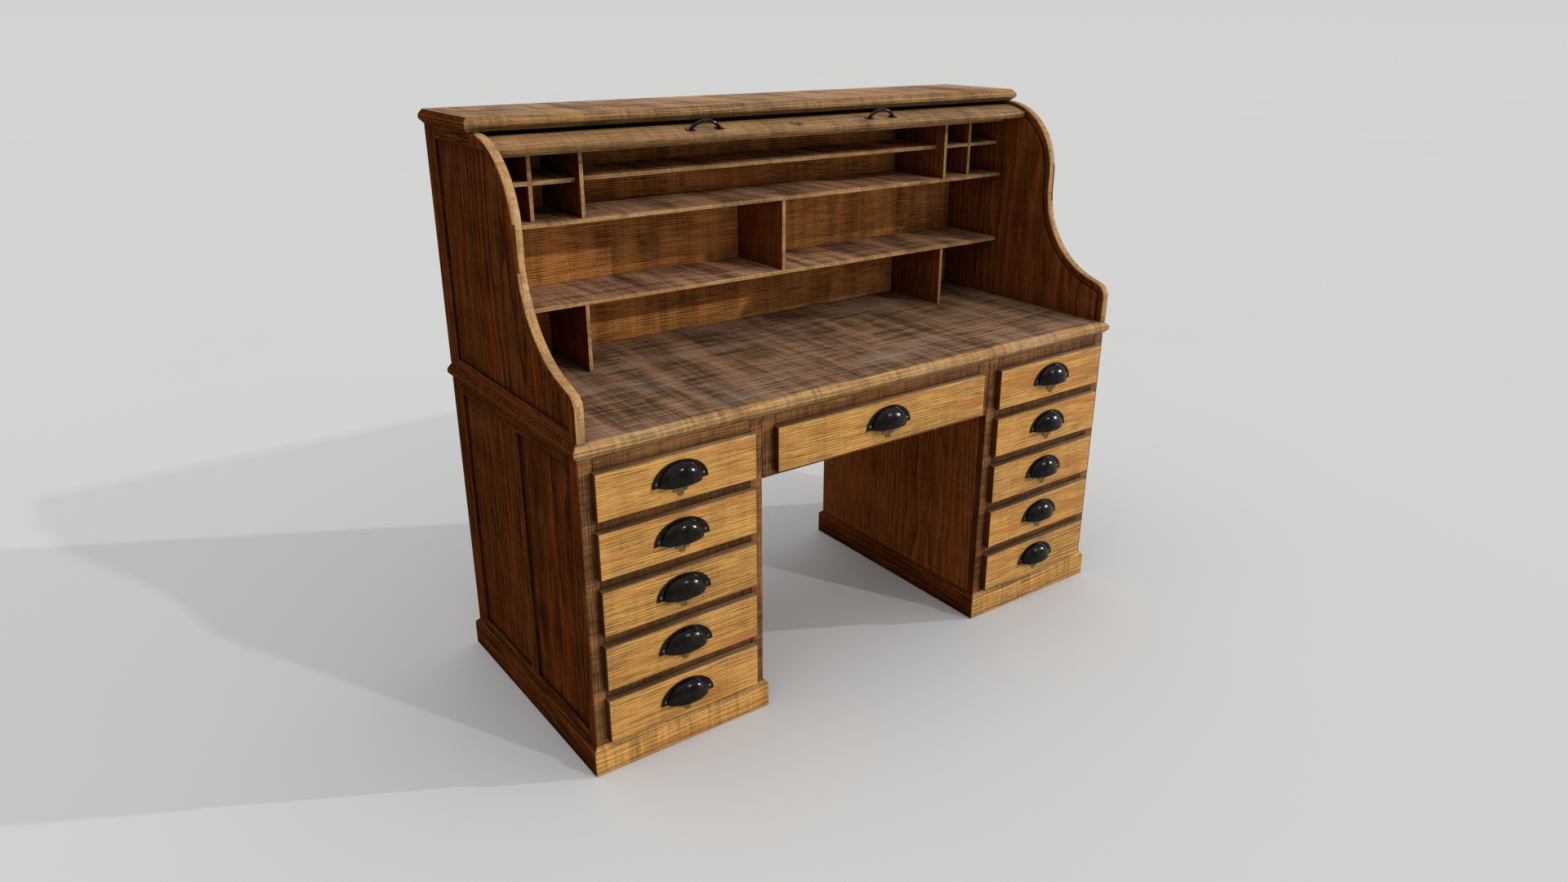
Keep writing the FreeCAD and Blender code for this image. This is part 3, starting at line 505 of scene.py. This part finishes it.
def work_edges(bm, width, rules=(), arris_index=0, seam=0.0):
    """Sort the faces by rule, round off the sharp edges and smooth the curved faces."""
    for face in bm.faces:
        centre = face.calc_center_median()
        for index, rule in enumerate(rules):
            if rule and rule(face.normal, centre):
                face.material_index = index + 1
    curved = set()
    sharp = []
    for edge in bm.edges:
        if len(edge.link_faces) != 2:
            continue
        angle = edge.calc_face_angle(0.0)
        if angle > SHARP_EDGE:
            if edge.is_convex and not (seam and on_seam(edge, seam)):
                sharp.append(edge)
        elif angle > FLAT_EDGE:
            curved.update(edge.link_faces)
    for face in bm.faces:
        face.smooth = face in curved
    if width and sharp:
        made = bmesh.ops.bevel(
            bm, geom=sharp, affect="EDGES", offset=width, offset_type="OFFSET", segments=1, profile=0.5,
            clamp_overlap=True, material=-1)
        for face in made["faces"]:
            face.smooth = True
            face.material_index = arris_index + int(abs(face.normal.x) > SIDEWAYS)


def place_grain(mesh, spans, node, axis):
    """Give every board its own grain coordinates and tone, the same on each run."""
    mesh.attributes.new("grain", "FLOAT_VECTOR", "POINT")
    mesh.attributes.new("tone", "FLOAT", "POINT")
    grain = mesh.attributes["grain"]
    tone = mesh.attributes["tone"]
    points = [vert.co.copy() for vert in mesh.vertices]
    for number, (start, end) in enumerate(spans):
        board = points[start:end]
        size = [max(p[k] for p in board) - min(p[k] for p in board) for k in range(3)]
        way = axis or "XYZ"[size.index(max(size))]
        order = GRAIN_AXES[way]
        draw = random.Random(node + str(number))
        shift = (draw.uniform(0, 9), draw.uniform(0.03, 0.09), draw.uniform(0.05, 0.12))
        shade_of_board = draw.random()
        if axis == "X" and size[0] > 1.2:
            shift = (shift[0], 0.0, shift[2])
        for index in range(start, end):
            grain.data[index].vector = [points[index][k] + s for k, s in zip(order, shift)]
            tone.data[index].value = shade_of_board


def new_piece(name, bms, finishes, body, replaced=(), grain=None):
    """Join bmeshes into one named piece that rides on a body."""
    total = bmesh.new()
    spans = []
    for bm in bms:
        start = len(total.verts)
        part = bpy.data.meshes.new("part")
        bm.to_mesh(part)
        bm.free()
        total.from_mesh(part)
        bpy.data.meshes.remove(part)
        spans.append((start, len(total.verts)))
    mesh = bpy.data.meshes.new(name)
    total.to_mesh(mesh)
    total.free()
    for title in finishes:
        mesh.materials.append(finish(title))
    if grain:
        place_grain(mesh, spans, *grain)
    piece = bpy.data.objects.new(name, mesh)
    bpy.context.scene.collection.objects.link(piece)
    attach(piece, body)
    if replaced:
        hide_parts(*replaced)
    return piece


def body_of(node):
    """Name of the body that a node belongs to."""
    return frame["nodes"][node]["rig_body"]


def boards(node, slot, finishes, rules=(), arris=None, axis=None, keep=None, name=None,
           worn="oak_worn_arris", seam=0.0):
    """Stand worked boards in for a node: main finish, one finish for each rule, then the arrises."""
    width = bpy.context.scene.desk_sizes.arris if arris is None else arris
    bms = []
    for numbers in solids_of(node):
        bm = solid_mesh(node, numbers)
        if keep and not keep(*corners(bm)):
            bm.free()
            continue
        work_edges(bm, width, rules, len(rules) + 1, seam)
        bms.append(bm)
    title = name or node + "_wood"
    finishes = [*finishes, worn, "oak_dark_arris"]
    return new_piece(title, bms, finishes, body_of(node), (node,), (node, axis))


def faces_front(normal, centre):
    return normal.y < -0.5


def faces_up_or_front(normal, centre):
    return normal.z - normal.y > 0.2


def faces_sideways(normal, centre):
    return abs(normal.x) > 0.7


def faces_up(normal, centre):
    return normal.z > 0.7


# ---------------------------------------------------------------- pieces


class DESK_OT_tops(bpy.types.Operator):
    """Writing surface and crown: worn planks with pale bevelled edges"""

    bl_idname = "desk.tops"
    bl_label = "Tops"

    def execute(self, context):
        for node, slot, flat, rubbed in (
                ("writing_top", "oak_top", "oak_worn_top", "oak_rubbed_edge"),
                ("crown_top", "oak_carcass", "oak_crown_painted_paler", "oak_handled_rail")):
            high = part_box(node)[1]

            def on_front(normal, centre, top=high.z):
                return normal.y < -0.2 and centre.z < top - 0.5 * MM

            def on_end(normal, centre, top=high.z):
                return max(abs(normal.x), normal.y) > 0.2 and centre.z < top - 0.5 * MM

            boards(node, slot, (flat, rubbed, "oak_dark_side"), (on_front, on_end), axis="X")
        return {"FINISHED"}


class DESK_OT_pedestals(bpy.types.Operator):
    """Both pedestals: sides, panels, front frames, plinths, backs and the kneehole's boards"""

    bl_idname = "desk.pedestals"
    bl_label = "Pedestals"

    def execute(self, context):
        for side in SIDES:
            stem = "pedestal_" + side + "_"
            boards(stem + "side_frame", "oak_carcass", ("oak_dark_side",), worn="oak_dark_arris")
            boards(stem + "side_panels", "oak_carcass", ("oak_dark_side",), arris=0.0)
            boards(stem + "inner_side", "oak_carcass", ("oak_inner_side",), axis="Z", worn="oak_dark_arris")
            for part, show in (("face_frame", "oak_stained_frame"), ("plinth", "oak_waxed_plinth")):
                boards(stem + part, "oak_carcass", ("oak_dark_side", show), (faces_front,))
        boards("kneehole_face_frame", "oak_carcass", ("oak_dark_side", "oak_stained_frame"), (faces_front,))
        boards("kneehole_rear_rail", "oak_carcass", ("oak_dark_side",))
        for node in ("pedestal_backs", "drawer_runners", "centre_dust_board"):
            boards(node, "secondary_wood", ("sawn_secondary_wood",))
        return {"FINISHED"}


class DESK_OT_gallery(bpy.types.Operator):
    """Gallery: S-shaped sides with planted frames, and the framed back"""

    bl_idname = "desk.gallery"
    bl_label = "Gallery"

    def execute(self, context):
        for side in SIDES:
            node = "gallery_side_" + side
            low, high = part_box(node)
            seam = max(abs(low.x), abs(high.x))
            middle = abs(low.x + high.x) / 2

            def on_rim(normal, centre, middle=middle):
                outside = abs(centre.x) > middle - 2 * MM
                return outside and abs(normal.x) < 0.3 and faces_up_or_front(normal, centre)

            def faces_in(normal, centre):
                return normal.x * centre.x < -0.5 * abs(centre.x)

            boards(node, "oak_carcass", ("oak_dark_side", "oak_rubbed_edge", "oak_inner_side"),
                   (on_rim, faces_in), axis="Z", worn="oak_dark_arris", seam=seam)
            node = "gallery_frame_" + side

            def on_edge(normal, centre, nose=low.y + NOSE_DEPTH):
                curved = max(normal.z, -normal.y) <= 0.99
                on_rim = curved or centre.y < nose
                return on_rim and abs(normal.x) < 0.3 and faces_up_or_front(normal, centre)

            boards(node, "oak_carcass", ("oak_dark_side", "oak_rubbed_edge"), (on_edge,),
                   worn="oak_dark_arris", seam=seam)
        boards("gallery_back_frame", "oak_carcass", ("oak_dark_side",), worn="oak_dark_arris")
        boards("gallery_back_panels", "secondary_wood", ("sawn_secondary_wood",), arris=0.0, axis="Z")
        return {"FINISHED"}


class DESK_OT_pigeonholes(bpy.types.Operator):
    """Shelves, dividers and back board inside the gallery"""

    bl_idname = "desk.pigeonholes"
    bl_label = "Pigeonholes"

    def execute(self, context):
        fine = context.scene.desk_sizes.fine_arris
        boards("pigeonhole_back", "oak_carcass", ("oak_back_board",), arris=0.0, axis="X")
        for node in ("pigeonhole_shelves", "pigeonhole_half_shelves"):
            boards(node, "oak_carcass", ("oak_shelf_painted_lighter", "oak_rubbed_edge"), (faces_front,), arris=fine,
                   axis="X")
        boards("pigeonhole_dividers", "oak_carcass", ("oak_inner_side", "oak_rubbed_edge"), (faces_front,),
               arris=fine, axis="Z")
        return {"FINISHED"}


class DESK_OT_curtain(bpy.types.Operator):
    """Slatted curtain on its canvas, and the lead rail at its front"""

    bl_idname = "desk.curtain"
    bl_label = "Curtain"

    def execute(self, context):
        fine = context.scene.desk_sizes.fine_arris
        for group in ("slats_1", "slats_2", "slats_3", "slats_4", "slats_5", "rear_slats"):
            boards("curtain_" + group, "oak_curtain", ("oak_stained_frame",), arris=fine, axis="X")
        boards("lead_rail", "oak_curtain", ("oak_handled_rail",), arris=0.0, axis="X")
        cloth = [solid_mesh("curtain_canvas", group) for group in solids_of("curtain_canvas")]
        new_piece("curtain_canvas_cloth", cloth, ["glued_cotton_canvas"], "desk",
                  ("curtain_canvas",))
        return {"FINISHED"}


class DESK_OT_drawers(bpy.types.Operator):
    """Eleven drawers: a waxed front and a plain box each"""

    bl_idname = "desk.drawers"
    bl_label = "Drawers"

    def execute(self, context):
        fine = context.scene.desk_sizes.fine_arris
        for name in DRAWERS:
            node = "drawer_" + name
            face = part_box(node)[0].y
            boards(
                node, "oak_drawer", ("oak_waxed_front", "oak_end_grain", "oak_dusty_edge"),
                (faces_sideways, faces_up), arris=0.0, axis="X", name=node + "_front",
                keep=lambda low, high: low.y < face + 1 * MM)
            boards(node, "secondary_wood", ("sawn_secondary_wood",), arris=fine, name=node + "_box",
                   keep=lambda low, high: low.y > face + 1 * MM)
        return {"FINISHED"}


def pull_parts(node):
    """The node's solids as bmeshes: cup, screws, key plate and lock case, told apart by size."""
    parts = {kind: [] for kind, _ in PULL_WIDTHS}
    for numbers in solids_of(node):
        bm = solid_mesh(node, numbers)
        low, high = corners(bm)
        kind = next(kind for kind, width in PULL_WIDTHS if high.x - low.x > width)
        parts[kind].append(bm)
    return parts


def keep_side(bm, point, normal):
    """Cut a bmesh by a plane and keep the side that the normal points to."""
    bmesh.ops.bisect_plane(
        bm, geom=bm.verts[:] + bm.edges[:] + bm.faces[:], plane_co=point, plane_no=normal,
        clear_inner=True, clear_outer=False)


def smooth_all(bm):
    """Shade every face smooth."""
    for face in bm.faces:
        face.smooth = True


def cup_dome(centre, size, wall):
    """Quarter of an oval dome with a wall, open below, its rim on the drawer's face."""
    bm = bmesh.new()
    bmesh.ops.create_uvsphere(bm, u_segments=56, v_segments=28, radius=1.0)
    bmesh.ops.rotate(bm, verts=bm.verts[:], cent=(0, 0, 0), matrix=Matrix.Rotation(math.pi / 2, 3, "X"))
    bmesh.ops.scale(bm, verts=bm.verts[:], vec=size)
    keep_side(bm, (0, 0, 0), (0, -1, 0))
    keep_side(bm, (0, 0, 0), (0, 0, 1))
    bmesh.ops.remove_doubles(bm, verts=bm.verts[:], dist=0.02 * MM)
    bmesh.ops.recalc_face_normals(bm, faces=bm.faces[:])
    middle = bm.faces[len(bm.faces) // 2]
    if middle.normal.dot(middle.calc_center_median()) < 0:
        bmesh.ops.reverse_faces(bm, faces=bm.faces[:])
    bmesh.ops.solidify(bm, geom=bm.faces[:], thickness=wall)
    bmesh.ops.translate(bm, verts=bm.verts[:], vec=centre)
    smooth_all(bm)
    return bm


def arched_flange(centre, outer, inner, thick):
    """Flat oval arch round the foot of the dome, standing forward of the drawer's face."""
    bm = bmesh.new()
    rings = []
    for half_width, height in (outer, inner):
        made = bmesh.ops.create_circle(bm, segments=72, radius=1.0, cap_ends=False)
        bmesh.ops.scale(bm, verts=made["verts"], vec=(half_width, height, 1.0))
        rings += list({edge for vert in made["verts"] for edge in vert.link_edges})
    bmesh.ops.bridge_loops(bm, edges=rings)
    bmesh.ops.rotate(bm, verts=bm.verts[:], cent=(0, 0, 0), matrix=Matrix.Rotation(math.pi / 2, 3, "X"))
    keep_side(bm, (0, 0, 0), (0, 0, 1))
    made = bmesh.ops.extrude_face_region(bm, geom=bm.faces[:])
    raised = [item for item in made["geom"] if isinstance(item, bmesh.types.BMVert)]
    bmesh.ops.translate(bm, verts=raised, vec=(0, -thick, 0))
    bmesh.ops.recalc_face_normals(bm, faces=bm.faces[:])
    rim = [edge for edge in bm.edges if len(edge.link_faces) == 2 and edge.calc_face_angle(0.0) > SHARP_EDGE
           and all(vert.co.y < -thick / 2 for vert in edge.verts)]
    bmesh.ops.bevel(bm, geom=rim, affect="EDGES", offset=thick * 0.35, segments=2, profile=0.5, material=-1,
                    clamp_overlap=True)
    bmesh.ops.translate(bm, verts=bm.verts[:], vec=centre)
    return bm


def slotted_screw(radius, height, place, angle):
    """Domed screw head with a cut slot: two halves of a dome on a thin disc, seated by a matrix."""
    bm = bmesh.new()
    gap = radius * 0.14
    turn = Matrix.Rotation(angle, 4, "Z")
    for sign in (-1, 1):
        half = bmesh.new()
        bmesh.ops.create_uvsphere(half, u_segments=16, v_segments=8, radius=radius)
        bmesh.ops.scale(half, verts=half.verts[:], vec=(1, 1, height / radius))
        keep_side(half, (0, 0, 0), (0, 0, 1))
        keep_side(half, (sign * gap, 0, 0), (sign, 0, 0))
        bmesh.ops.holes_fill(half, edges=[edge for edge in half.edges if edge.is_boundary], sides=0)
        bmesh.ops.recalc_face_normals(half, faces=half.faces[:])
        part = bpy.data.meshes.new("part")
        half.to_mesh(part)
        half.free()
        bm.from_mesh(part)
        bpy.data.meshes.remove(part)
    bmesh.ops.create_cone(bm, cap_ends=True, segments=16, radius1=radius * 0.95, radius2=radius * 0.9,
                          depth=height * 0.3, matrix=Matrix.Translation((0, 0, height * 0.15)))
    bmesh.ops.transform(bm, matrix=place @ turn, verts=bm.verts[:])
    for face in bm.faces:
        face.smooth = len(face.verts) < 5
    return bm


def facing_sitter(x, y, z):
    """Seat for a screw driven straight back from the sitter's side."""
    return Matrix.Translation((x, y, z)) @ Matrix.Rotation(math.pi / 2, 4, "X")


class DESK_OT_cup_pulls(bpy.types.Operator):
    """Cup pull, screws, key plate and lock case on each drawer"""

    bl_idname = "desk.cup_pulls"
    bl_label = "Cup pulls"

    def execute(self, context):
        sizes = context.scene.desk_sizes
        for name in DRAWERS:
            node = "pull_" + name
            body = body_of(node)
            parts = pull_parts(node)
            low, high = corners(parts["cup"][0])
            parts["cup"][0].free()
            middle = (low.x + high.x) / 2
            face = high.y
            foot = Vector((middle, face, low.z))
            screw_places = [corners(bm) for bm in parts["screws"]]
            for bm in parts["screws"]:
                bm.free()
            thick = face - screw_places[0][1].y
            height = screw_places[0][1].y - screw_places[0][0].y
            dome = high.z - low.z - FLANGE_RIM
            hollow = dome - 2 * sizes.cup_wall
            metal = [
                cup_dome(foot, (dome * CUP_OVAL, face - low.y, dome), sizes.cup_wall),
                arched_flange(foot, (high.x - middle, high.z - low.z), (hollow * CUP_OVAL, hollow), thick),
            ]
            draw = random.Random(node)
            heads = []
            for a, b in screw_places:
                seat = facing_sitter((a.x + b.x) / 2, face - thick, (a.z + b.z) / 2)
                heads.append(slotted_screw(sizes.screw, height, seat, draw.uniform(0, math.pi)))
            new_piece(node + "_cup", metal, ["japanned_cast_iron"], body, (node,))
            new_piece(node + "_screws", heads, ["turned_steel_screw"], body, (node,))
            plate = parts["plate"][0]
            a, b = corners(plate)
            work_edges(plate, PLATE_ARRIS)
            brass = [plate]
            for sign in (-1, 1):
                x = middle + sign * ((b.x - a.x) / 2 - PLATE_LOBE)
                seat = facing_sitter(x, a.y, b.z - PLATE_LOBE)
                brass.append(slotted_screw(sizes.pin, PIN_HEIGHT, seat, draw.uniform(0, math.pi)))
            new_piece(node + "_key_plate", brass, ["tarnished_brass"], body, (node,))
            for bm in parts["lock"]:
                work_edges(bm, sizes.fine_arris)
            new_piece(node + "_lock", parts["lock"], ["turned_steel_screw"], body, (node,))
        return {"FINISHED"}


class DESK_OT_bow_pulls(bpy.types.Operator):
    """Two bow handles and the lock plate on the lead rail"""

    bl_idname = "desk.bow_pulls"
    bl_label = "Bow pulls"

    def execute(self, context):
        joint = next(item for item in frame["joints"] if item["name"] == "curtain_roll")
        pivot = Vector(joint["pos_m"])
        screws = []
        bows = []
        draw = random.Random("bows")
        for numbers in solids_of("lead_rail_pulls"):
            bm = solid_mesh("lead_rail_pulls", numbers)
            low, high = corners(bm)
            smooth_all(bm)
            for edge in bm.edges:
                if edge.is_manifold and edge.calc_face_angle(0.0) > SHARP_EDGE:
                    edge.smooth = False
            bows.append(bm)
            middle = (low + high) / 2
            for sign in (-1, 1):
                spot = (middle.x + sign * BOW_SCREW_SPREAD, 0.0, RAIL_SURFACE + BOW_FOOT)
                seat = (Matrix.Translation(pivot) @ Matrix.Rotation(BOW_ANGLE, 4, "X")
                        @ Matrix.Translation(spot))
                screws.append(slotted_screw(*BOW_SCREW, seat, draw.uniform(0, math.pi)))
        new_piece("lead_rail_bows", bows, ["japanned_cast_iron"], "lead_rail_body",
                  ("lead_rail_pulls",))
        new_piece("lead_rail_bow_screws", screws, ["turned_steel_screw"], "lead_rail_body",
                  ("lead_rail_pulls",))
        plate = [solid_mesh("lead_rail_lock", numbers) for numbers in solids_of("lead_rail_lock")]
        for bm in plate:
            work_edges(bm, PLATE_ARRIS)
        new_piece("lead_rail_key_plate", plate, ["tarnished_brass"], "lead_rail_body",
                  ("lead_rail_lock",))
        return {"FINISHED"}


class DESK_OT_stage(bpy.types.Operator):
    """Plain pale floor, camera and soft lights"""

    bl_idname = "desk.stage"
    bl_label = "Stage"

    def execute(self, context):
        scene = context.scene
        stage = scene.desk_stage
        bm = bmesh.new()
        bmesh.ops.create_circle(bm, cap_ends=True, segments=96, radius=FLOOR_RADIUS)
        bmesh.ops.translate(bm, verts=bm.verts[:], vec=(0, 0, -0.5 * MM))
        mesh = bpy.data.meshes.new("floor")
        bm.to_mesh(mesh)
        bm.free()
        material, tree, shader = new_material("painted_floor")
        place = add_node(tree, "ShaderNodeTexCoord").outputs["Object"]
        # Faint clouds in the paint, over a metre across.
        cloud = add_node(
            tree, "ShaderNodeTexNoise", {"Scale": 0.6, "Detail": 2.0}, {"Vector": place}).outputs["Fac"]
        tint = add_node(tree, "ShaderNodeValToRGB", {"stops": [
            (0.3, shade(stage.floor[:], 0.985)), (0.7, stage.floor[:])]}, {"Fac": cloud}).outputs["Color"]
        tree.links.new(tint, shader.inputs["Base Color"])
        shader.inputs["Roughness"].default_value = 0.95
        shader.inputs["Specular IOR Level"].default_value = 0.0
        mesh.materials.append(material)
        floor = bpy.data.objects.new("floor", mesh)
        scene.collection.objects.link(floor)

        world = bpy.data.worlds.new("studio")
        world.use_nodes = True
        tree = world.node_tree
        # A soft box overhead: the light grows from the walls towards the ceiling.
        way = add_node(tree, "ShaderNodeTexCoord").outputs["Generated"]
        rise = add_node(tree, "ShaderNodeSeparateXYZ", {}, {"Vector": way}).outputs["Z"]
        heights = ((0.03, stage.horizon), (0.10, stage.fill), (0.50, stage.fill * 1.3), (1.0, stage.overhead))
        stops = [(height, (bright, bright, bright, 1.0)) for height, bright in heights]
        glow = add_node(tree, "ShaderNodeValToRGB", {"stops": stops}, {"Fac": rise})
        tree.links.new(glow.outputs["Color"], tree.nodes["Background"].inputs["Color"])
        scene.world = world

        for name, way, strength, angle, tint in (
                ("side_light", (-0.88, 0.47, -0.245), stage.low_sun, 0.8, (1.0, 0.985, 0.965)),
                ("front_light", (-0.45, 0.89, -0.68), stage.front_sun, 1.5, (1.0, 0.99, 0.98))):
            light = bpy.data.lights.new(name, "SUN")
            light.energy = strength
            light.angle = math.radians(angle)
            light.color = tint
            lamp = bpy.data.objects.new(name, light)
            lamp.rotation_euler = Vector(way).to_track_quat("-Z", "Y").to_euler()
            scene.collection.objects.link(lamp)

        camera = bpy.data.cameras.new("camera")
        camera.lens = stage.lens
        camera.sensor_width = 36.0
        camera.clip_end = 1000.0
        view = bpy.data.objects.new("camera", camera)
        view.location = stage.place
        view.rotation_euler = stage.turn
        scene.collection.objects.link(view)
        scene.camera = view
        scene.view_settings.view_transform = "Standard"
        return {"FINISHED"}


OPERATORS = (
    DESK_OT_stage, DESK_OT_tops, DESK_OT_pedestals, DESK_OT_gallery, DESK_OT_pigeonholes, DESK_OT_curtain,
    DESK_OT_drawers, DESK_OT_cup_pulls, DESK_OT_bow_pulls,
)
GROUPS = {"desk_finishes": DeskFinishes, "desk_sizes": DeskSizes, "desk_stage": DeskStage}


class DESK_PT_panel(bpy.types.Panel):
    """Buttons for each group of pieces, and the sizes and colours they use"""

    bl_idname = "DESK_PT_panel"
    bl_label = "Roll Top Desk"
    bl_space_type = "VIEW_3D"
    bl_region_type = "UI"
    bl_category = "Desk"

    def draw(self, context):
        for title in GROUPS:
            box = self.layout.box()
            group = getattr(context.scene, title)
            for name in GROUPS[title].__annotations__:
                box.prop(group, name)
        for operator in OPERATORS:
            self.layout.operator(operator.bl_idname)


def register():
    for kind in (*GROUPS.values(), *OPERATORS, DESK_PT_panel):
        bpy.utils.register_class(kind)
    for title, kind in GROUPS.items():
        setattr(bpy.types.Scene, title, bpy.props.PointerProperty(type=kind))


def unregister():
    for title in GROUPS:
        delattr(bpy.types.Scene, title)
    for kind in reversed((*GROUPS.values(), *OPERATORS, DESK_PT_panel)):
        bpy.utils.unregister_class(kind)


def main():
    """Build the whole desk."""
    register()
    for operator in OPERATORS:
        group, name = operator.bl_idname.split(".")
        getattr(getattr(bpy.ops, group), name)()


if __name__ == "__main__":
    main()
